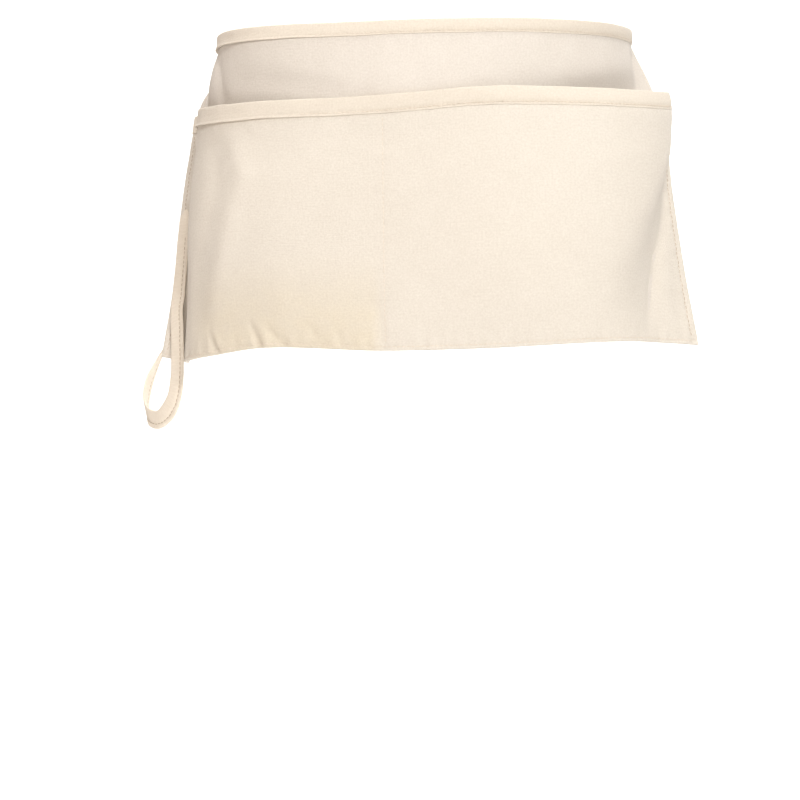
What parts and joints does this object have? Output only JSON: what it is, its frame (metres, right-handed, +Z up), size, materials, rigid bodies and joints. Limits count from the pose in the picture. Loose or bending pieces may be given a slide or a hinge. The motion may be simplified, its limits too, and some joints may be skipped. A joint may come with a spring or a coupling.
{
  "type": "carpenter nail apron",
  "caption": "Short canvas waist apron with a wide divided front pocket, bound edges, waist ties and a strap loop for a tool.",
  "frame": {"origin": "middle of the waist opening, at half the height of the waistband", "axes": "+Z up along the wearer's waist, -Y to the front of the apron, +X to the right as seen from the front"},
  "size_m": [0.4565, 0.2511, 0.3096],
  "materials": {
    "canvas": "matt cotton canvas",
    "tape": "matt cotton tape",
    "strap": "matt cotton strap"
  },
  "bodies": {
    "root": {"body_panel": "canvas", "pocket_panel": "canvas", "pocket_binding": "tape", "waistband": "tape", "tie_left": "tape", "tie_right": "tape", "tie_knot": "tape", "side_hem_left": "canvas", "side_hem_right": "canvas", "tool_loop": "strap"}
  },
  "joints": []
}
